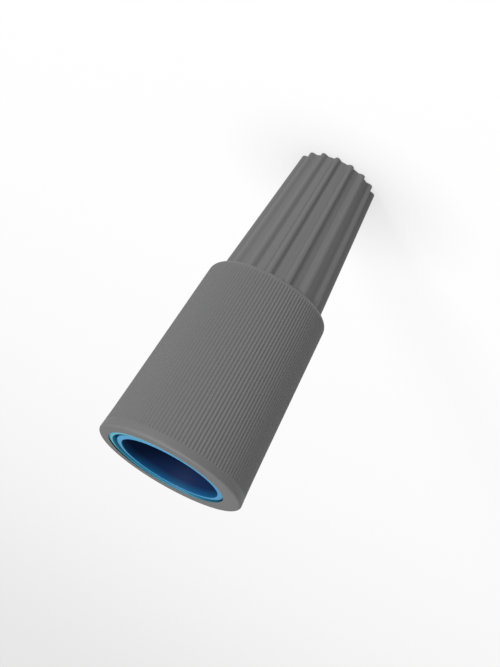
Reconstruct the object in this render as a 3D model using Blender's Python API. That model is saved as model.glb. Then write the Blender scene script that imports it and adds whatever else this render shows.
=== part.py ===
"""Twist-on wire connector: a closed fluted cap, a ribbed flexible skirt round its open end, and inside
them a rigid liner that holds a conical square-wire spring behind a funnel-shaped wire guide.

The axis is Z. The origin is the centre of the closed cap's flat end, and +Z points out of the mouth.
"""

import math

import bmesh
import bpy

MM = 0.001

# Driving dimensions
LIP_RADIUS = 9.5 * MM
LENGTH = 4.64 * LIP_RADIUS
CAP_LENGTH = LENGTH - 2.65 * LIP_RADIUS
FIT = 0.12 * MM
SPRING_CLEARANCE = 0.15 * MM

# Ribbed skirt
SKIRT_TAPER = 0.0605
LIP_FLARE = 0.10 * MM
FLARE_LENGTH = 1.9 * MM
LIP_ROUND = 0.35 * MM
SHOULDER_ROUND = 0.9 * MM
RIB_COUNT = 124
RIB_DEPTH = 0.10 * MM
RIB_START = 1.4 * MM
RIB_RUN_OUT = 0.35 * MM
MOUTH_OPENING_RADIUS = 0.83 * LIP_RADIUS

# Fluted cap
FLUTE_COUNT = 16
RIDGE_RADIUS_TIP = 0.562 * LIP_RADIUS
RIDGE_RADIUS_BASE = 0.725 * LIP_RADIUS
VALLEY_RADIUS_TIP = 0.502 * LIP_RADIUS
VALLEY_RADIUS_BASE = 0.660 * LIP_RADIUS
RIDGE_TOP_WIDTH_TIP = 0.26 * MM
RIDGE_TOP_WIDTH_BASE = 0.40 * MM
RIDGE_FLANK_TIP = 0.45 * MM
RIDGE_FLANK_BASE = 0.60 * MM
TIP_ROUND = 0.25 * MM
COLLAR_RADIUS = 7.3 * MM
COLLAR_TOP = CAP_LENGTH + 7.6 * MM

# Conical spring of square wire, one corner of the square facing the axis
WIRE = 0.9 * MM
SPRING_BOTTOM = 3.1 * MM
SPRING_TOP = 28.1 * MM
SPRING_TIP_RADIUS = 2.9 * MM
SPRING_TAPER = 0.105
SPRING_TURNS = 14
STEPS_PER_TURN = 20

# Rigid liner
LINER_WALL = 0.7 * MM
LINER_END_WALL = 0.9 * MM
BELL_WALL = 0.8 * MM
BELL_SHELF = SPRING_TOP + 0.3 * MM
BELL_BOTTOM = BELL_SHELF - LINER_END_WALL
BELL_RADIUS_BOTTOM = 7.3 * MM
GROOVE_OUTER_RADIUS = 7.47 * MM
RIM_RECESS = 0.15 * MM
FLANGE_SEAT = LENGTH - 2.7 * MM

# Wire guide
THROAT_RADIUS = 0.68 * LIP_RADIUS
GUIDE_RIM_RADIUS = 0.754 * LIP_RADIUS
GUIDE_NECK_RADIUS = 4.75 * MM
GUIDE_WALL = 0.7 * MM
GUIDE_ROUND = 0.2 * MM
GUIDE_RECESS = 0.05 * MM
FLANGE_HEIGHT = 1.3 * MM
FOOT_HEIGHT = 1.3 * MM

ROUND_SEGMENTS = 62
MERGE = 1e-7
SMOOTH_ANGLE = math.radians(32)

GREY = (0.16, 0.16, 0.165)
LIGHT_BLUE = (0.16, 0.42, 0.72)
DEEP_BLUE = (0.02, 0.20, 0.42)
STEEL = (0.60, 0.60, 0.58)


def clear_scene():
    for old in list(bpy.data.objects):
        bpy.data.objects.remove(old, do_unlink=True)


def material(name, colour, roughness, metallic=0.0):
    made = bpy.data.materials.new(name)
    made.use_nodes = True
    shader = made.node_tree.nodes["Principled BSDF"]
    shader.inputs["Base Color"].default_value = (*colour, 1.0)
    shader.inputs["Roughness"].default_value = roughness
    shader.inputs["Metallic"].default_value = metallic
    made.diffuse_color = (*colour, 1.0)
    return made


def finish_piece(name, mesh_data, finish, parent=None):
    """Closes the mesh up, faces it outwards, shades it and puts the piece in the scene."""
    mesh = bpy.data.meshes.new(name)
    bmesh.ops.remove_doubles(mesh_data, verts=mesh_data.verts, dist=MERGE)
    bmesh.ops.recalc_face_normals(mesh_data, faces=mesh_data.faces)
    mesh_data.to_mesh(mesh)
    mesh_data.free()
    mesh.materials.append(finish)
    mesh.shade_smooth()
    mesh.set_sharp_from_angle(angle=SMOOTH_ANGLE)
    piece = bpy.data.objects.new(name, mesh)
    bpy.context.scene.collection.objects.link(piece)
    piece.parent = parent
    return piece


def turned(outline):
    """A round solid from its closed outline of (radius, z) points."""
    body = bmesh.new()
    corners = [body.verts.new((radius, 0.0, z)) for radius, z in outline]
    edges = [body.edges.new((corners[i - 1], corners[i])) for i in range(len(corners))]
    bmesh.ops.spin(body, geom=corners + edges, cent=(0, 0, 0), axis=(0, 0, 1),
                   angle=math.tau, steps=ROUND_SEGMENTS, use_merge=True)
    return body


def ring(body, radius, z, angles):
    """A ring of vertices; radius is one number or one for each angle."""
    radii = radius if isinstance(radius, list) else [radius] * len(angles)
    return [body.verts.new((r * math.cos(a), r * math.sin(a), z)) for r, a in zip(radii, angles)]


def bridged(body, fine, coarse):
    """Faces from a ring to one with fewer points, or with as many."""
    ratio = len(fine) // len(coarse)
    for i, point in enumerate(fine):
        following = fine[(i + 1) % len(fine)]
        near = coarse[((i + ratio // 2) // ratio) % len(coarse)]
        if ratio == 1:
            body.faces.new((point, following, coarse[(i + 1) % len(coarse)], near))
            continue
        body.faces.new((point, following, near))
        if i % ratio == ratio // 2:
            body.faces.new((point, near, coarse[i // ratio]))


def skinned(body, rings, closed):
    """Faces between neighbouring rings. A closed section joins the last ring to the first, and an
    open one is filled at both of its ends."""
    following = rings[1:] + rings[:1] if closed else rings[1:]
    for lower, upper in zip(rings, following):
        bridged(body, *sorted((lower, upper), key=len, reverse=True))
    if not closed:
        body.faces.new(rings[0])
        body.faces.new(rings[-1])
    return body


def skirt_radius(z):
    """The skirt's outside: a shallow cone that flares a little at the lip."""
    depth = LENGTH - z
    cone = 1.004 * LIP_RADIUS - SKIRT_TAPER * depth
    return cone + LIP_FLARE * math.exp(-depth / FLARE_LENGTH)


def spring_radius(z):
    """The spring's outside, which sets every wall round it."""
    return SPRING_TIP_RADIUS + SPRING_TAPER * (z - SPRING_BOTTOM)


def pocket_radius(z):
    return spring_radius(z) + SPRING_CLEARANCE


def liner_radius(z):
    """The outside of the liner's narrow half."""
    return pocket_radius(z) + LINER_WALL


def bell_radius(z):
    """The outside of the liner's wide half."""
    share = (z - BELL_BOTTOM) / (LENGTH - BELL_BOTTOM)
    return BELL_RADIUS_BOTTOM + share * (MOUTH_OPENING_RADIUS - FIT - BELL_RADIUS_BOTTOM)


def quarter_round(radius, z, size, start_degrees, steps=3):
    """Points of a rounded corner about (radius, z), from the start angle through 90 degrees."""
    points = []
    for step in range(steps + 1):
        angle = math.radians(start_degrees + 90 * step / steps)
        points.append((radius + size * math.cos(angle), z + size * math.sin(angle)))
    return points


def make_skirt(finish):
    """The flexible sleeve. Its fine ribs run from a smooth band at the lip down into the rounded shoulder.
    The first angle is a quarter of a step off the X axis, so the piece is as wide along Y as along X."""
    body = bmesh.new()
    first_angle = math.tau / 4 / ROUND_SEGMENTS
    round_angles = [first_angle + math.tau * i / ROUND_SEGMENTS for i in range(ROUND_SEGMENTS)]
    rib_angles = [first_angle + math.pi * i / RIB_COUNT for i in range(2 * RIB_COUNT)]
    rib_top = LENGTH - RIB_START
    rib_bottom = CAP_LENGTH + SHOULDER_ROUND
    lip_radius = skirt_radius(LENGTH - LIP_ROUND)
    lower = [(COLLAR_RADIUS + FIT, CAP_LENGTH)]
    lower += quarter_round(skirt_radius(rib_bottom) - SHOULDER_ROUND, rib_bottom, SHOULDER_ROUND, -90)[:-1]
    rings = [ring(body, radius, z, round_angles) for radius, z in lower]
    for z in (rib_bottom, rib_top):
        radii = [skirt_radius(z) - RIB_DEPTH * (i % 2) for i in range(2 * RIB_COUNT)]
        rings.append(ring(body, radii, z, rib_angles))
    upper = [(skirt_radius(rib_top + RIB_RUN_OUT), rib_top + RIB_RUN_OUT)]
    upper += quarter_round(lip_radius - LIP_ROUND, LENGTH - LIP_ROUND, LIP_ROUND, 0, steps=2)
    upper += [
        (MOUTH_OPENING_RADIUS, LENGTH),
        (bell_radius(BELL_BOTTOM) + FIT, BELL_BOTTOM),
        (liner_radius(BELL_BOTTOM) + FIT, BELL_BOTTOM - FIT),
        (liner_radius(COLLAR_TOP + FIT) + FIT, COLLAR_TOP + FIT),
        (COLLAR_RADIUS + FIT, COLLAR_TOP + FIT),
    ]
    rings += [ring(body, radius, z, round_angles) for radius, z in upper]
    return finish_piece("grip_skirt", skinned(body, rings, closed=True), finish)


def flute_points(share):
    """(angle, radius) points round the fluted outside, at a share of the way from tip to shoulder.
    Each ridge has a narrow top and short flanks, and between them the wall is round."""
    ridge = RIDGE_RADIUS_TIP + share * (RIDGE_RADIUS_BASE - RIDGE_RADIUS_TIP)
    valley = VALLEY_RADIUS_TIP + share * (VALLEY_RADIUS_BASE - VALLEY_RADIUS_TIP)
    top = (RIDGE_TOP_WIDTH_TIP + share * (RIDGE_TOP_WIDTH_BASE - RIDGE_TOP_WIDTH_TIP)) / 2
    flank = RIDGE_FLANK_TIP + share * (RIDGE_FLANK_BASE - RIDGE_FLANK_TIP)
    half_profile = [(top, ridge), (top + flank, valley)]
    points = []
    for flute in range(FLUTE_COUNT):
        centre = math.tau * flute / FLUTE_COUNT
        middle = centre + math.pi / FLUTE_COUNT
        points += [(centre - across / valley, radius) for across, radius in reversed(half_profile)]
        points += [(centre + across / valley, radius) for across, radius in half_profile]
        points += [(middle, valley)]
    return points


def make_cap(finish):
    """The rigid closed cap: fluted outside, with a plain collar that reaches up inside the skirt."""
    body = bmesh.new()
    tip = flute_points(0.0)
    base = flute_points(1.0)
    angles = [angle for angle, _ in tip]
    base_angles = [angle for angle, _ in base]
    inner_bottom = SPRING_BOTTOM - LINER_END_WALL - 2 * FIT
    rings = [
        ring(body, [radius - TIP_ROUND for _, radius in tip], 0.0, angles),
        ring(body, [radius - 0.29 * TIP_ROUND for _, radius in tip], 0.29 * TIP_ROUND, angles),
        ring(body, [radius for _, radius in tip], TIP_ROUND, angles),
        ring(body, [radius for _, radius in base], CAP_LENGTH, base_angles),
        ring(body, COLLAR_RADIUS, CAP_LENGTH, base_angles),
        ring(body, COLLAR_RADIUS, COLLAR_TOP, base_angles),
        ring(body, liner_radius(COLLAR_TOP) + FIT, COLLAR_TOP, base_angles),
        ring(body, liner_radius(inner_bottom) + FIT, inner_bottom, base_angles),
    ]
    return finish_piece("fluted_cap", skinned(body, rings, closed=False), finish)


def make_liner(finish):
    """The rigid liner: a narrow conical pocket for the spring, a shelf, and a wide bell to the mouth."""
    bottom = SPRING_BOTTOM - LINER_END_WALL - FIT
    rim = LENGTH - RIM_RECESS
    bell_inner = bell_radius(BELL_SHELF) - BELL_WALL
    outline = [
        (0.0, bottom),
        (liner_radius(bottom), bottom),
        (liner_radius(BELL_BOTTOM), BELL_BOTTOM),
        (bell_radius(BELL_BOTTOM), BELL_BOTTOM + FIT),
        (bell_radius(rim), rim),
        (GROOVE_OUTER_RADIUS, rim),
        (GROOVE_OUTER_RADIUS, FLANGE_SEAT),
        (bell_radius(FLANGE_SEAT) - BELL_WALL, FLANGE_SEAT),
        (bell_inner, BELL_SHELF),
        (pocket_radius(BELL_SHELF), BELL_SHELF),
        (pocket_radius(SPRING_BOTTOM - FIT), SPRING_BOTTOM - FIT),
        (0.0, SPRING_BOTTOM - FIT),
    ]
    return finish_piece("inner_liner", turned(outline), finish)


def make_guide(finish):
    """The wire guide: a rim at the mouth, a flange that sits in the liner, and a tapering throat whose
    foot stands on the liner's shelf and keeps the spring in."""
    flange_bottom = FLANGE_SEAT + FIT
    flange_top = flange_bottom + FLANGE_HEIGHT
    flange_radius = GROOVE_OUTER_RADIUS - FIT
    foot_bottom = BELL_SHELF + FIT
    foot_top = foot_bottom + FOOT_HEIGHT
    foot_radius = bell_radius(BELL_SHELF) - BELL_WALL - FIT
    outline = [
        (GUIDE_RIM_RADIUS, flange_top),
        (flange_radius, flange_top),
        (flange_radius, flange_bottom),
        (bell_radius(FLANGE_SEAT) - BELL_WALL - FIT, flange_bottom),
        (GUIDE_NECK_RADIUS + 2 * GUIDE_WALL, foot_top),
        (foot_radius, foot_top),
        (foot_radius, foot_bottom),
        (GUIDE_NECK_RADIUS, foot_bottom),
    ]
    for share in (0.15, 0.4, 0.7):
        z = foot_bottom + share * (LENGTH - foot_bottom)
        widening = math.sin(share * math.pi / 2) ** 0.8
        outline += [(GUIDE_NECK_RADIUS + widening * (THROAT_RADIUS - GUIDE_NECK_RADIUS), z)]
    rim = LENGTH - GUIDE_RECESS
    outline += [(THROAT_RADIUS, rim - GUIDE_ROUND), (THROAT_RADIUS + GUIDE_ROUND, rim)]
    outline += [(GUIDE_RIM_RADIUS - GUIDE_ROUND, rim), (GUIDE_RIM_RADIUS, rim - GUIDE_ROUND)]
    return finish_piece("wire_guide", turned(outline), finish)


def make_spring(finish, axle):
    """The conical coil, right-hand wound, of square wire with one corner towards the axis."""
    body = bmesh.new()
    half_diagonal = WIRE * math.sqrt(2) / 2
    low = SPRING_BOTTOM + half_diagonal
    high = SPRING_TOP - half_diagonal
    total = SPRING_TURNS * STEPS_PER_TURN
    sections = []
    for step in range(total + 1):
        angle = math.tau * step / STEPS_PER_TURN
        z = low + (high - low) * step / total
        centre = spring_radius(z) - half_diagonal
        corners = ((half_diagonal, 0), (0, half_diagonal), (-half_diagonal, 0), (0, -half_diagonal))
        sections.append([
            body.verts.new(((centre + out) * math.cos(angle), (centre + out) * math.sin(angle), z + up))
            for out, up in corners
        ])
    return finish_piece("spring", skinned(body, sections, closed=False), finish, parent=axle)


def main():
    clear_scene()
    shell_grey = material("shell_grey", GREY, 0.62)
    skirt_grey = material("skirt_grey", GREY, 0.70)
    liner_blue = material("liner_blue", DEEP_BLUE, 0.45)
    guide_blue = material("guide_blue", LIGHT_BLUE, 0.40)
    spring_steel = material("spring_steel", STEEL, 0.35, metallic=1.0)
    spring_axle = bpy.data.objects.new("spring_axle", None)
    bpy.context.scene.collection.objects.link(spring_axle)
    make_cap(shell_grey)
    make_skirt(skirt_grey)
    make_liner(liner_blue)
    make_guide(guide_blue)
    make_spring(spring_steel, spring_axle)


main()
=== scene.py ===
"""Looks of the twist wire connector: finely modelled plastic and steel pieces in place of the plain CAD
solids, on a plain pale floor under soft studio light."""

import math

import bmesh
import bpy
import numpy as np
from mathutils import Matrix, Vector


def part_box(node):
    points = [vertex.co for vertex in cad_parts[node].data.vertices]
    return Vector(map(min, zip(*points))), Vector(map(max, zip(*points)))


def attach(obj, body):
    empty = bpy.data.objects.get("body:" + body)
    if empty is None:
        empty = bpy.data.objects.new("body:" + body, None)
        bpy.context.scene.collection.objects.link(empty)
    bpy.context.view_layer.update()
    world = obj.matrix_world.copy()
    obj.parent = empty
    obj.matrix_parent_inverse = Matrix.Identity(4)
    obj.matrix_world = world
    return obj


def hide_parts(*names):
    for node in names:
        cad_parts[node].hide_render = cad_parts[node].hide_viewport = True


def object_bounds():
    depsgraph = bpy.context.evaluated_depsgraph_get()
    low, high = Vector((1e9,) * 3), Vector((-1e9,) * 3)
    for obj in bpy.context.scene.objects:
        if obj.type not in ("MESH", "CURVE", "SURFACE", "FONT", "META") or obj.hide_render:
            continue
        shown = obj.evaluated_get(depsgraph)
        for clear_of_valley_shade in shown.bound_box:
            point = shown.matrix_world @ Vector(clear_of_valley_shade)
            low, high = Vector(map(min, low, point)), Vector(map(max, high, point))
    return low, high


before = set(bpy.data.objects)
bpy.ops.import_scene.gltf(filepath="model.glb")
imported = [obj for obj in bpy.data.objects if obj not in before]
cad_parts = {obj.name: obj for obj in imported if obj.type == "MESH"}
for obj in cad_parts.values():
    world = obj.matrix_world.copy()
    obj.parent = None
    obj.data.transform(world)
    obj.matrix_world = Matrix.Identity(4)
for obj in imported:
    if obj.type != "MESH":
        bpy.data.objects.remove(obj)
cad_low, cad_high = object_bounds()

MM = 0.001

# The CAD model's driving dimensions, read back from its box
LENGTH = cad_high[2]
LIP_RADIUS = LENGTH / 4.64
CAP_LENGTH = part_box("grip_skirt")[0].z
COLLAR_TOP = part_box("fluted_cap")[1].z
COLLAR_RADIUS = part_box("fluted_cap")[1].x

# Gaps between pieces: where a fit is hidden, and where a seam shows
FIT = 0.12 * MM
SEAM = 0.02 * MM

# Ribbed skirt
SKIRT_TAPER = 0.0605
LIP_FLARE = 0.10 * MM
FLARE_LENGTH = 1.9 * MM
LIP_ROUND = 0.35 * MM
SHOULDER_ROUND = 0.9 * MM
MOUTH_OPENING_RADIUS = 0.83 * LIP_RADIUS
OVERHANG_RADIUS = 0.815 * LIP_RADIUS
OVERHANG_OFFSET = 0.052 * LIP_RADIUS
OVERHANG_OFFSET_ANGLE = math.radians(29)
OVERHANG_THICKNESS = 0.03 * MM
OVERHANG_ROUND = 0.8 * OVERHANG_THICKNESS
RIB_COUNT = 124
RIB_SAMPLES = 10
RIB_DEPTH = 0.11 * MM
RIB_CREST_WIDENING = 1.3
RIB_FADE_START = 0.4 * SHOULDER_ROUND
RIB_FADE_LENGTH = 0.5 * SHOULDER_ROUND
RIB_START = 1.4 * MM
RIB_RUN_OUT = 0.35 * MM

# Fluted cap; a pair gives the size at the tip and at the shoulder
FLUTE_COUNT = 16
FLUTE_SAMPLES = 36
FLUTE_CROWDING = 1.5
RIDGE_RADIUS = (0.562 * LIP_RADIUS, 0.725 * LIP_RADIUS)
VALLEY_RADIUS = (0.502 * LIP_RADIUS, 0.660 * LIP_RADIUS)
RIDGE_TOP_WIDTH = (0.26 * MM, 0.40 * MM)
RIDGE_FLANK = (0.45 * MM, 0.60 * MM)
RIDGE_CROWN = 0.06
RIDGE_SHOULDER = 0.8
TIP_ROUND = 0.25 * MM
BASE_FILLET = 0.25 * MM

# Spring, liner and wire guide
WIRE = 0.9 * MM
SPRING_BOTTOM, SPRING_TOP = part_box("spring")[0].z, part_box("spring")[1].z
SPRING_TIP_RADIUS = 2.9 * MM
SPRING_TAPER = 0.105
SPRING_TURNS = 14
SPRING_STEPS_PER_TURN = 72
WIRE_CORNER = 0.12
SPRING_CLEARANCE = 0.15 * MM
LINER_WALL = 0.7 * MM
LINER_END_WALL = 0.9 * MM
LINER_MIDDLE = 0.02 * MM
BELL_WALL = 0.8 * MM
BELL_SHELF = SPRING_TOP + 0.3 * MM
BELL_BOTTOM = BELL_SHELF - LINER_END_WALL
BELL_RADIUS_BOTTOM = 7.3 * MM
GROOVE_OUTER_RADIUS = 7.50 * MM
GROOVE_OFFSET = 0.031 * LIP_RADIUS
GROOVE_OFFSET_ANGLE = math.radians(59)
GROOVE_OFFSET_DEPTH = 0.55 * MM
RIM_RADIUS = 0.88 * LIP_RADIUS
RIM_HEIGHT = 0.6 * MM
RIM_RECESS = 0.04 * MM
RIM_SLOPE = 0.18 * MM
FLANGE_SEAT = LENGTH - 2.7 * MM
THROAT_RADIUS = 0.68 * LIP_RADIUS
GUIDE_RIM_RADIUS = 0.757 * LIP_RADIUS
GUIDE_NECK_RADIUS = 4.75 * MM
GUIDE_WALL = 0.7 * MM
GUIDE_RECESS = 0.05 * MM
GUIDE_SLOPE = 0.16 * MM
THROAT_CURVE = 0.8
FLANGE_HEIGHT = 1.8 * MM
FOOT_HEIGHT = 1.3 * MM

ROUND_SEGMENTS = 288
SMOOTH_ANGLE = math.radians(40)

# Camera: where it stands about the point it looks at, and how far it is rolled about its line of sight
AIM = Vector((-0.24, -0.04, 24.27)) * MM
CAMERA_AZIMUTH = math.radians(-80.91)
CAMERA_ELEVATION = math.radians(19.19)
CAMERA_DISTANCE = 167.0 * MM
CAMERA_ROLL = math.radians(149.99)
CAMERA_LENS = 73.43
CAMERA_SENSOR = 36.0

# Colours
CAP_GREY = (0.126, 0.126, 0.129)
SKIRT_GREY = (0.127, 0.127, 0.129)
# painted shade for the spring's wire where it lies in the valleys between its turns
VALLEY_SHADE = (0.13, 0.13, 0.125)
DULL_STEEL = (0.42, 0.42, 0.40)
BRIGHT_STEEL = (0.62, 0.62, 0.60)

# Depths below the rim: where painted shade starts to darken the blue walls, and between which the pale
# face, painted lighter where it faces up, ends
BLUE_SHADE_START_DEPTH = 0.25 * MM
BLUE_LIT_FACE_DEPTHS = (0.50 * MM, 0.42 * MM)

# Floor and light
FLOOR_HALF = 3.0
FLOOR_GAP = 0.02 * MM
FLOOR_COLOUR = (0.22, 0.22, 0.22, 1.0)
FLOOR_GLOW = 0.73
WHITE = (1.0, 1.0, 1.0, 1.0)
ROOM_LIGHT = 0.30
HORIZON_LIGHT = 0.90
KEY_POWER = 2.1
OVERHEAD_POWER = 2.95


def mix(pair, share):
    return pair[0] + share * (pair[1] - pair[0])


def ease(share):
    """A smooth step from 0 to 1."""
    clipped = np.clip(share, 0, 1)
    return clipped * clipped * (3 - 2 * clipped)


# ---------------------------------------------------------------------------------------------- meshes

def piece_from_rows(name, rows, closed_section, material):
    """A solid from rings of points, an array of (ring, point, xyz), with its normals outwards. A closed
    section joins the last ring to the first; an open one gets a fan to the middle of each end ring."""
    ring_count, point_count = rows.shape[:2]
    vertices = rows.reshape(-1, 3)
    faces = []
    steps = ring_count if closed_section else ring_count - 1
    for i in range(steps):
        here = i * point_count
        there = ((i + 1) % ring_count) * point_count
        for j in range(point_count):
            k = (j + 1) % point_count
            faces.append((here + j, here + k, there + k, there + j))
    if not closed_section:
        middles = rows[[0, -1]].mean(axis=1)
        first, last = len(vertices), len(vertices) + 1
        vertices = np.vstack([vertices, middles])
        top = (ring_count - 1) * point_count
        for j in range(point_count):
            k = (j + 1) % point_count
            faces.append((first, k, j))
            faces.append((last, top + j, top + k))
    mesh = bpy.data.meshes.new(name)
    mesh.from_pydata(vertices.tolist(), [], faces)
    shape = bmesh.new()
    shape.from_mesh(mesh)
    bmesh.ops.recalc_face_normals(shape, faces=shape.faces)
    shape.to_mesh(mesh)
    shape.free()
    mesh.materials.append(material)
    mesh.shade_smooth()
    mesh.set_sharp_from_angle(angle=SMOOTH_ANGLE)
    piece = bpy.data.objects.new(name, mesh)
    bpy.context.scene.collection.objects.link(piece)
    return piece


def circle_rows(outline, angles):
    """Rings about Z from (radius, z) points; a radius is one number or one for each angle."""
    rows = np.zeros((len(outline), len(angles), 3))
    for row, (radius, z) in zip(rows, outline):
        row[:, 0] = radius * np.cos(angles)
        row[:, 1] = radius * np.sin(angles)
        row[:, 2] = z
    return rows


def arc(radius, z, size, start_degrees, turn_degrees=90, *, steps):
    """(radius, z) points of a rounded corner about a centre, from a start angle through a turn."""
    turns = [math.radians(start_degrees + turn_degrees * step / steps) for step in range(steps + 1)]
    return [(radius + size * math.cos(turn), z + size * math.sin(turn)) for turn in turns]


def run(start, end, steps):
    """(radius, z) points between two points, leaving out both."""
    shares = [step / steps for step in range(1, steps)]
    return [(mix((start[0], end[0]), share), mix((start[1], end[1]), share)) for share in shares]


def rounded(corners, steps=5):
    """The (radius, z) points of a closed outline from its corners (radius, z, size): each corner is
    rounded by its size, and 0 keeps it sharp."""
    points = []
    for i, (radius, z, size) in enumerate(corners):
        here = Vector((radius, z))
        back = (Vector(corners[i - 1][:2]) - here).normalized()
        ahead = (Vector(corners[(i + 1) % len(corners)][:2]) - here).normalized()
        if size == 0:
            points.append(tuple(here))
            continue
        for step in range(steps + 1):
            share = step / steps
            start = here + size * back
            end = here + size * ahead
            point = (1 - share) ** 2 * start + 2 * share * (1 - share) * here + share ** 2 * end
            points.append(tuple(point))
    return points


# ---------------------------------------------------------------------------------------------- shapes

def skirt_radius(z):
    """The skirt's outside: a shallow cone that flares a little at the lip."""
    depth = LENGTH - z
    cone = 1.004 * LIP_RADIUS - SKIRT_TAPER * depth
    return cone + LIP_FLARE * math.exp(-depth / FLARE_LENGTH)


def spring_radius(z):
    return SPRING_TIP_RADIUS + SPRING_TAPER * (z - SPRING_BOTTOM)


def liner_radius(z):
    return spring_radius(z) + SPRING_CLEARANCE + LINER_WALL


def bell_radius(z):
    share = (z - BELL_BOTTOM) / (LENGTH - BELL_BOTTOM)
    return mix((BELL_RADIUS_BOTTOM, MOUTH_OPENING_RADIUS - FIT), share)


def rib_share(z):
    """How much of their full depth the grooves between the ribs have at a height."""
    fade_low = (z - CAP_LENGTH - RIB_FADE_START) / RIB_FADE_LENGTH
    fade_high = (LENGTH - RIB_START + RIB_RUN_OUT - z) / RIB_RUN_OUT
    return ease(min(fade_low, fade_high))


def skirt_outside():
    """(radius, z) points over the ribs, from the collar round the shoulder and up to the lip's rounding."""
    shoulder_top = CAP_LENGTH + SHOULDER_ROUND
    rib_top = LENGTH - RIB_START
    rib_end = rib_top + RIB_RUN_OUT
    middle = skirt_radius(shoulder_top) - SHOULDER_ROUND
    start = math.degrees(math.asin((COLLAR_RADIUS + SEAM - middle) / SHOULDER_ROUND))
    heights = [
        *np.linspace(shoulder_top, rib_top, 20)[1:],
        *np.linspace(rib_top, rib_end, 8)[1:],
        *np.linspace(rib_end, LENGTH - LIP_ROUND, 6)[1:-1],
    ]
    shoulder = arc(middle, shoulder_top, SHOULDER_ROUND, start - 90, 90 - start, steps=14)
    return shoulder + [(skirt_radius(z), z) for z in heights]


def skirt_inside():
    """(radius, z) corners of the skirt's bore, from the recess of the liner's rim down to the collar."""
    rim_bottom = LENGTH - RIM_HEIGHT
    return [
        (RIM_RADIUS + SEAM, LENGTH - OVERHANG_THICKNESS),
        (RIM_RADIUS + SEAM, rim_bottom - SEAM),
        (bell_radius(rim_bottom) + FIT, rim_bottom - SEAM),
        (bell_radius(BELL_BOTTOM) + FIT, BELL_BOTTOM),
        (liner_radius(BELL_BOTTOM) + FIT, BELL_BOTTOM - FIT),
        (liner_radius(COLLAR_TOP + FIT) + FIT, COLLAR_TOP + FIT),
        (COLLAR_RADIUS + SEAM, COLLAR_TOP + FIT),
    ]


def make_skirt(material):
    """The flexible sleeve, with round-topped fine ribs that run out smoothly at both of their ends. A thin
    edge of its lip hangs over the liner's rim, off centre, so the rim shows on one side only."""
    angles = np.arange(RIB_COUNT * RIB_SAMPLES) * math.tau / (RIB_COUNT * RIB_SAMPLES)
    groove = RIB_DEPTH * (0.5 - 0.5 * np.cos(angles * RIB_COUNT)) ** RIB_CREST_WIDENING
    outline = [(radius - rib_share(z) * groove, z) for radius, z in skirt_outside()]

    lip_bottom = LENGTH - LIP_ROUND
    lip_top_radius = skirt_radius(lip_bottom) - LIP_ROUND
    inner = OVERHANG_RADIUS + OVERHANG_OFFSET * np.cos(angles - OVERHANG_OFFSET_ANGLE)
    outline += arc(lip_top_radius, lip_bottom, LIP_ROUND, 0, steps=8)
    outline += run((lip_top_radius, LENGTH), (inner + OVERHANG_ROUND, LENGTH), 4)
    outline += arc(inner + OVERHANG_ROUND, LENGTH - OVERHANG_ROUND, OVERHANG_ROUND, 90, steps=5)
    outline.append((inner, LENGTH - OVERHANG_THICKNESS))
    outline += skirt_inside()
    return piece_from_rows("ribbed_skirt", circle_rows(outline, angles), True, material)


def flute_radii(share, angles):
    """Radius at each angle of the fluted outside, at a share of the way from the tip to the shoulder.
    Ridges have a narrow crowned top and short flanks, and the wall between them is round."""
    pitch = math.tau / FLUTE_COUNT
    off_ridge = np.abs((angles + pitch / 2) % pitch - pitch / 2)
    valley = mix(VALLEY_RADIUS, share)
    height = mix(RIDGE_RADIUS, share) - valley
    across = off_ridge * valley
    top = mix(RIDGE_TOP_WIDTH, share) / 2
    flank = mix(RIDGE_FLANK, share)
    crown = RIDGE_CROWN * np.clip(across / top, 0, 1) ** 2
    fall = ease((across - RIDGE_SHOULDER * top) / (flank + (1 - RIDGE_SHOULDER) * top))
    return valley + height * (1 - crown) * (1 - fall)


def flute_angles():
    """Angles round the cap, closer together on the ridges."""
    pitch = math.tau / FLUTE_COUNT
    steps = np.linspace(-1, 1, FLUTE_SAMPLES, endpoint=False)
    eased = np.sign(steps) * np.abs(steps) ** FLUTE_CROWDING
    return np.concatenate([pitch * (flute + eased / 2) for flute in range(FLUTE_COUNT)])


def cap_outside(angles):
    """(radius, z) points of the closed tip, the fluted wall and the fillet under the skirt."""
    body_bottom = TIP_ROUND
    body_top = CAP_LENGTH - SEAM - BASE_FILLET
    tip = flute_radii(0.0, angles)
    base = flute_radii(1.0, angles)
    turns = [math.radians(15 * step) for step in range(7)]
    outline = [(share * (tip - TIP_ROUND), 0.0) for share in (0.25, 0.5, 0.7, 0.85, 0.95)]
    for turn in turns:
        outline.append((tip - TIP_ROUND * (1 - math.sin(turn)), TIP_ROUND * (1 - math.cos(turn))))
    for share in np.linspace(0, 1, 30)[1:]:
        outline.append((flute_radii(share, angles), mix((body_bottom, body_top), share)))
    for turn in turns[1:]:
        fillet = BASE_FILLET * (1 - math.cos(turn))
        outline.append((base + fillet, body_top + BASE_FILLET * math.sin(turn)))
    return outline


def make_cap(material):
    """The rigid closed cap: fluted outside, with a plain collar that reaches up inside the skirt."""
    angles = flute_angles()
    inner_bottom = SPRING_BOTTOM - LINER_END_WALL - 2 * FIT
    outline = cap_outside(angles) + [
        (COLLAR_RADIUS, CAP_LENGTH - SEAM),
        (COLLAR_RADIUS, COLLAR_TOP),
        (liner_radius(COLLAR_TOP) + FIT, COLLAR_TOP),
        (liner_radius(inner_bottom) + FIT, inner_bottom),
    ]
    return piece_from_rows("grip_cap", circle_rows(outline, angles), False, material)


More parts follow.
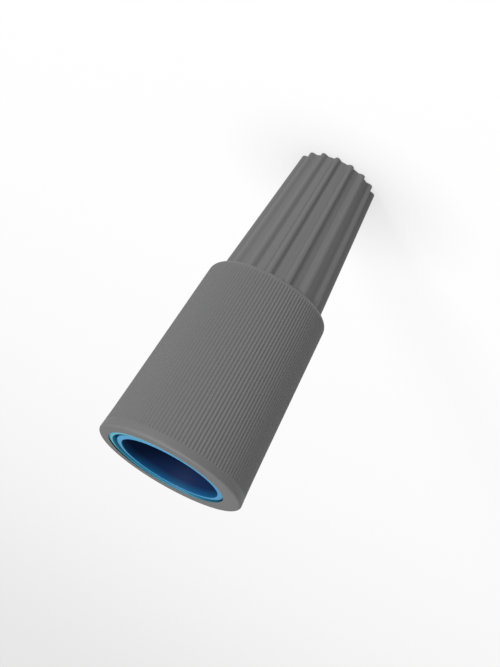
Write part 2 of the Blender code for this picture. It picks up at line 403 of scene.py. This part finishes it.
def make_liner(material):
    """The rigid liner: a narrow conical pocket for the spring, a shelf, and a wide bell to the mouth, with
    a thin rim let into the skirt. The rim's inner edge is a little off centre."""
    bottom = SPRING_BOTTOM - LINER_END_WALL - FIT
    pocket_bottom = SPRING_BOTTOM - FIT
    rim = LENGTH - RIM_RECESS
    rim_bottom = LENGTH - RIM_HEIGHT
    corners = [
        (LINER_MIDDLE, bottom, 0),
        (liner_radius(bottom), bottom, 0.3 * MM),
        (liner_radius(BELL_BOTTOM), BELL_BOTTOM, 0),
        (bell_radius(BELL_BOTTOM), BELL_BOTTOM + FIT, 0.3 * MM),
        (bell_radius(rim_bottom), rim_bottom, 0),
        (RIM_RADIUS, rim_bottom, 0),
        (RIM_RADIUS, rim - RIM_SLOPE, 0.05 * MM),
        (GROOVE_OUTER_RADIUS, rim, 0.08 * MM),
        (GROOVE_OUTER_RADIUS, rim - GROOVE_OFFSET_DEPTH, 0),
        (GROOVE_OUTER_RADIUS, FLANGE_SEAT, 0),
        (bell_radius(FLANGE_SEAT) - BELL_WALL, FLANGE_SEAT, 0),
        (bell_radius(BELL_SHELF) - BELL_WALL, BELL_SHELF, 0.1 * MM),
        (spring_radius(BELL_SHELF) + SPRING_CLEARANCE, BELL_SHELF, 0.1 * MM),
        (spring_radius(pocket_bottom) + SPRING_CLEARANCE, pocket_bottom, 0.3 * MM),
        (LINER_MIDDLE, pocket_bottom, 0),
    ]
    angles = np.arange(ROUND_SEGMENTS) * math.tau / ROUND_SEGMENTS
    off_centre = GROOVE_OFFSET * np.cos(angles - GROOVE_OFFSET_ANGLE)
    points = []
    for radius, z in rounded(corners):
        height = np.clip((z - rim + GROOVE_OFFSET_DEPTH) / GROOVE_OFFSET_DEPTH, 0, 1)
        inward = np.clip((RIM_RADIUS - radius) / (RIM_RADIUS - GROOVE_OUTER_RADIUS), 0, 1)
        points.append((radius + height * inward * off_centre, z))
    return piece_from_rows("liner", circle_rows(points, angles), True, material)


def make_guide(material):
    """The wire guide: a rounded rim at the mouth, a flange that sits in the liner, and a tapering throat
    whose foot stands on the liner's shelf."""
    flange_bottom = FLANGE_SEAT + FIT
    flange_top = flange_bottom + FLANGE_HEIGHT
    flange_radius = GROOVE_OUTER_RADIUS - FIT
    foot_bottom = BELL_SHELF + FIT
    foot_top = foot_bottom + FOOT_HEIGHT
    foot_radius = bell_radius(BELL_SHELF) - BELL_WALL - FIT
    rim = LENGTH - GUIDE_RECESS
    corners = [
        (GUIDE_RIM_RADIUS, flange_top, 0.15 * MM),
        (flange_radius, flange_top, 0.1 * MM),
        (flange_radius, flange_bottom, 0),
        (bell_radius(FLANGE_SEAT) - BELL_WALL - FIT, flange_bottom, 0),
        (GUIDE_NECK_RADIUS + 2 * GUIDE_WALL, foot_top, 0.3 * MM),
        (foot_radius, foot_top, 0.1 * MM),
        (foot_radius, foot_bottom, 0.1 * MM),
        (GUIDE_NECK_RADIUS, foot_bottom, 0.15 * MM),
    ]
    for share in np.linspace(0.03, 0.97, 24):
        widening = math.sin(share * math.pi / 2) ** THROAT_CURVE
        throat = mix((GUIDE_NECK_RADIUS, THROAT_RADIUS), widening)
        corners.append((throat, mix((foot_bottom, rim), share), 0))
    corners.append((THROAT_RADIUS, rim, 0.18 * MM))
    corners.append((GUIDE_RIM_RADIUS, rim - GUIDE_SLOPE, 0.10 * MM))
    angles = np.arange(ROUND_SEGMENTS) * math.tau / ROUND_SEGMENTS
    return piece_from_rows("wire_funnel", circle_rows(rounded(corners), angles), True, material)


def wire_section(half_diagonal):
    """(out, up) points of the square wire standing on a corner, with its corners cut a little."""
    section = []
    for quarter in range(4):
        here = math.radians(90 * quarter)
        for turn in (-90, 90):
            side = math.radians(90 * quarter + turn)
            out = (1 - WIRE_CORNER) * math.cos(here) + WIRE_CORNER * math.cos(side)
            up = (1 - WIRE_CORNER) * math.sin(here) + WIRE_CORNER * math.sin(side)
            section.append((half_diagonal * out, half_diagonal * up))
    return section


def make_spring(material):
    """The conical coil of square wire, one corner towards the axis."""
    half_diagonal = WIRE * math.sqrt(2) / 2
    section = wire_section(half_diagonal)
    ends = (SPRING_BOTTOM + half_diagonal, SPRING_TOP - half_diagonal)
    total = SPRING_TURNS * SPRING_STEPS_PER_TURN
    rows = np.zeros((total + 1, len(section), 3))
    for step in range(total + 1):
        angle = math.tau * step / SPRING_STEPS_PER_TURN
        z = mix(ends, step / total)
        centre = spring_radius(z) - half_diagonal
        for j, (out, up) in enumerate(section):
            radius = centre + out
            rows[step, j] = (radius * math.cos(angle), radius * math.sin(angle), z + up)
    return piece_from_rows("coil_spring", rows, False, material)


# ------------------------------------------------------------------------------------------- materials

class Nodes:
    """A short way to add and link the nodes of one material."""

    def __init__(self, name):
        self.material = bpy.data.materials.new(name)
        self.material.use_nodes = True
        self.tree = self.material.node_tree
        self.shader = self.tree.nodes["Principled BSDF"]
        place = self.tree.nodes.new("ShaderNodeTexCoord")
        self.coordinates = place.outputs["Object"]
        self.normal = place.outputs["Normal"]

    def add(self, kind, inputs=None, **settings):
        node = self.tree.nodes.new("ShaderNode" + kind)
        for key, value in settings.items():
            setattr(node, key, value)
        for key, value in (inputs or {}).items():
            if isinstance(value, bpy.types.NodeSocket):
                self.tree.links.new(value, node.inputs[key])
            else:
                node.inputs[key].default_value = value
        return node

    def set(self, **values):
        for key, value in values.items():
            socket = self.shader.inputs[key.replace("_", " ")]
            if isinstance(value, bpy.types.NodeSocket):
                self.tree.links.new(value, socket)
            else:
                socket.default_value = value

    def noise(self, size, detail=2.0, roughness=0.5):
        """Noise whose features are about this size in metres."""
        inputs = {
            "Vector": self.coordinates,
            "Scale": 1 / size,
            "Detail": detail,
            "Roughness": roughness,
        }
        return self.add("TexNoise", inputs).outputs["Fac"]

    def ramp(self, factor, low, high, low_value, high_value):
        """A factor between low and high, mapped to the two values."""
        inputs = {
            "Value": factor,
            "From Min": low,
            "From Max": high,
            "To Min": low_value,
            "To Max": high_value,
        }
        return self.add("MapRange", inputs).outputs["Result"]

    def blend(self, factor, first, second):
        """A mix of two colours."""
        node = self.add("Mix", data_type="RGBA")
        self.tree.links.new(factor, node.inputs["Factor"])
        for index, value in ((6, first), (7, second)):
            if isinstance(value, bpy.types.NodeSocket):
                self.tree.links.new(value, node.inputs[index])
            else:
                node.inputs[index].default_value = (*value, 1.0)
        return node.outputs[2]

    def bump(self, height, depth):
        """A bump of that depth in metres."""
        inputs = {"Height": height, "Distance": depth, "Strength": 1.0}
        return self.add("Bump", inputs).outputs["Normal"]


def shaded(colour, share):
    return tuple(share * channel for channel in colour)


def moulded_grey(name, colour, roughness, grain, grain_depth):
    """Matt grey moulded plastic: spark-eroded grain, with faint changes of tone and gloss."""
    nodes = Nodes(name)
    fine = nodes.noise(grain, detail=3.0, roughness=0.6)
    speck = nodes.noise(0.25 * MM, detail=3.0, roughness=0.6)
    cloud = nodes.noise(6.0 * MM, detail=2.0)
    flow = nodes.blend(nodes.ramp(cloud, 0.3, 0.7, 0.0, 1.0), shaded(colour, 0.98), colour)
    tone = nodes.ramp(speck, 0.3, 0.7, 0.0, 1.0)
    grainy = nodes.blend(tone, shaded(colour, 0.90), shaded(colour, 1.09))
    nodes.set(Base_Color=nodes.blend(nodes.ramp(speck, 0.45, 0.55, 0.0, 0.6), flow, grainy))
    nodes.set(Roughness=nodes.ramp(speck, 0.3, 0.7, roughness - 0.05, roughness + 0.05))
    nodes.set(Normal=nodes.bump(fine, grain_depth))
    return nodes.material


def blue_plastic(name, lit_face, edge, deep_shade, rim, shade_fade, gloss):
    """Satin blue plastic: the face that shows at the mouth is pale where it faces up, which is painted
    light, and its walls are darker down to a depth below the rim, which is painted shade."""
    nodes = Nodes(name)
    height = nodes.add("SeparateXYZ", {"Vector": nodes.coordinates}).outputs["Z"]
    upward = nodes.add("SeparateXYZ", {"Vector": nodes.normal}).outputs["Z"]
    fine = nodes.noise(0.12 * MM, detail=2.0)
    # painted shade: the walls darken with depth below the rim
    depth_shade = nodes.ramp(height, rim - BLUE_SHADE_START_DEPTH, rim - shade_fade, 0.0, 1.0)
    # painted light: surfaces that face up, above the groove, take the pale face colour
    faces_up = nodes.ramp(upward, 0.55, 0.85, 0.0, 1.0)
    face_low, face_high = (rim - depth for depth in BLUE_LIT_FACE_DEPTHS)
    above_groove = nodes.ramp(height, face_low, face_high, 0.0, 1.0)
    lit_top = nodes.add("Math", {0: faces_up, 1: above_groove}, operation="MULTIPLY").outputs["Value"]
    wall = nodes.blend(depth_shade, edge, deep_shade)
    nodes.set(Base_Color=nodes.blend(lit_top, wall, lit_face))
    nodes.set(Roughness=nodes.ramp(fine, 0.3, 0.7, 0.40, 0.52), Specular_IOR_Level=gloss)
    nodes.set(Normal=nodes.bump(fine, 0.004 * MM))
    return nodes.material


def drawn_steel(name):
    """Zinc-plated drawn wire: fine lines and duller patches, with painted shade that darkens it in the
    valleys between the turns and leaves the corners that turn inwards bright."""
    nodes = Nodes(name)
    place = nodes.add("SeparateXYZ", {"Vector": nodes.coordinates}).outputs
    flat = nodes.add("CombineXYZ", {"X": place["X"], "Y": place["Y"]}).outputs["Vector"]
    radius = nodes.add("VectorMath", {0: flat}, operation="LENGTH").outputs["Value"]
    wide_end = spring_radius(SPRING_TOP)
    outside = nodes.ramp(place["Z"], SPRING_BOTTOM, SPRING_TOP, SPRING_TIP_RADIUS, wide_end)
    depth = nodes.add("Math", {0: outside, 1: radius}, operation="SUBTRACT").outputs["Value"]
    # painted shade: the wire's outer side, in the valleys between the turns, takes the dark valley colour
    clear_of_valley_shade = nodes.ramp(depth, 0.6 * WIRE, 1.2 * WIRE, 0.0, 1.0)
    patches = nodes.noise(1.2 * MM, detail=3.0)
    lines = nodes.noise(0.08 * MM, detail=3.0)
    bright = nodes.blend(nodes.ramp(patches, 0.35, 0.65, 0.0, 1.0), DULL_STEEL, BRIGHT_STEEL)
    nodes.set(Base_Color=nodes.blend(clear_of_valley_shade, VALLEY_SHADE, bright))
    nodes.set(Metallic=1.0, Roughness=nodes.ramp(patches, 0.3, 0.7, 0.34, 0.50))
    nodes.set(Normal=nodes.bump(lines, 0.006 * MM))
    return nodes.material


def floor_finish():
    """A pale sheet that gives off most of its own light, so that shadows on it stay weak."""
    nodes = Nodes("pale_floor")
    nodes.set(Base_Color=FLOOR_COLOUR, Roughness=1.0, Specular_IOR_Level=0.0)
    nodes.set(Emission_Color=WHITE, Emission_Strength=FLOOR_GLOW)
    nodes.set(Normal=nodes.bump(nodes.noise(1.0 * MM, detail=2.0), 0.004 * MM))
    return nodes.material


# --------------------------------------------------------------------------------------------- staging

def make_floor():
    mesh = bpy.data.meshes.new("floor")
    signs = ((-1, -1), (1, -1), (1, 1), (-1, 1))
    corners = [(x * FLOOR_HALF, y * FLOOR_HALF, -FLOOR_GAP) for x, y in signs]
    mesh.from_pydata(corners, [], [(0, 1, 2, 3)])
    mesh.materials.append(floor_finish())
    floor = bpy.data.objects.new("floor", mesh)
    bpy.context.scene.collection.objects.link(floor)


def direction(azimuth, elevation):
    """The unit vector from the object towards that azimuth, measured from +X, and elevation."""
    flat = math.cos(elevation)
    return Vector((flat * math.cos(azimuth), flat * math.sin(azimuth), math.sin(elevation)))


def make_camera():
    data = bpy.data.cameras.new("camera")
    data.sensor_width = CAMERA_SENSOR
    data.lens = CAMERA_LENS
    data.clip_start = 0.01
    data.clip_end = 20
    camera = bpy.data.objects.new("camera", data)
    bpy.context.scene.collection.objects.link(camera)
    back = direction(CAMERA_AZIMUTH, CAMERA_ELEVATION)
    camera.location = AIM + CAMERA_DISTANCE * back
    right = Vector((0, 0, 1)).cross(back).normalized()
    up = back.cross(right)
    rolled_up = math.cos(CAMERA_ROLL) * up + math.sin(CAMERA_ROLL) * right
    rolled_right = rolled_up.cross(back)
    turned = Matrix((rolled_right, rolled_up, back)).transposed()
    camera.rotation_euler = turned.to_euler()
    bpy.context.scene.camera = camera


def area_light(name, azimuth, elevation, distance, size, power):
    data = bpy.data.lights.new(name, "AREA")
    data.shape = "DISK"
    data.size = size
    data.energy = power
    light = bpy.data.objects.new(name, data)
    light.visible_camera = False
    bpy.context.scene.collection.objects.link(light)
    towards = direction(math.radians(azimuth), math.radians(elevation))
    light.location = Vector((0, 0, LENGTH / 2)) + distance * towards
    light.rotation_euler = towards.to_track_quat("Z", "Y").to_euler()


def make_lights():
    """A dim room behind a pale horizon, a low key light on the picture's left, and a light overhead for
    the open mouth."""
    world = bpy.data.worlds.new("studio")
    bpy.context.scene.world = world
    world.use_nodes = True
    tree = world.node_tree
    seen = tree.nodes.new("ShaderNodeMapRange")
    seen.inputs["To Min"].default_value = ROOM_LIGHT
    seen.inputs["To Max"].default_value = HORIZON_LIGHT
    tree.links.new(tree.nodes.new("ShaderNodeLightPath").outputs["Is Camera Ray"], seen.inputs["Value"])
    background = tree.nodes["Background"]
    background.inputs["Color"].default_value = WHITE
    tree.links.new(seen.outputs["Result"], background.inputs["Strength"])
    area_light("key", azimuth=-43, elevation=15, distance=0.6, size=0.16, power=KEY_POWER)
    area_light("overhead", azimuth=-43, elevation=86, distance=0.6, size=0.25, power=OVERHEAD_POWER)
    bpy.context.scene.view_settings.view_transform = "Standard"


def place(piece, body, node, slot):
    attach(piece, body)
    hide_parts(node)


def main():
    cap_grey = moulded_grey("cap_grey", CAP_GREY, roughness=0.55, grain=0.10 * MM, grain_depth=0.012 * MM)
    skirt_grey = moulded_grey(
        "skirt_grey", SKIRT_GREY, roughness=0.62, grain=0.08 * MM, grain_depth=0.010 * MM)
    # Both blues carry painted light and shade: pale faces where they face up, and walls darkened below the
    # rim
    liner_blue = blue_plastic(
        "liner_blue", lit_face=(0.10, 0.36, 0.465), edge=(0.010, 0.17, 0.28), deep_shade=(0.008, 0.14, 0.25),
        rim=LENGTH - RIM_RECESS, shade_fade=1.5 * MM, gloss=0.3)
    guide_blue = blue_plastic(
        "guide_blue", lit_face=(0.070, 0.265, 0.455), edge=(0.010, 0.105, 0.26), deep_shade=(0.010, 0.028, 0.10),
        rim=LENGTH - GUIDE_RECESS, shade_fade=1.1 * MM, gloss=0.12)
    place(make_cap(cap_grey), "shell", "fluted_cap", "cap_plastic")
    place(make_skirt(skirt_grey), "shell", "grip_skirt", "skirt_rubber")
    place(make_liner(liner_blue), "shell", "inner_liner", "liner_plastic")
    place(make_guide(guide_blue), "shell", "wire_guide", "guide_plastic")
    place(make_spring(drawn_steel("spring_steel")), "coil", "spring", "spring_steel")
    make_floor()
    make_lights()
    make_camera()


main()
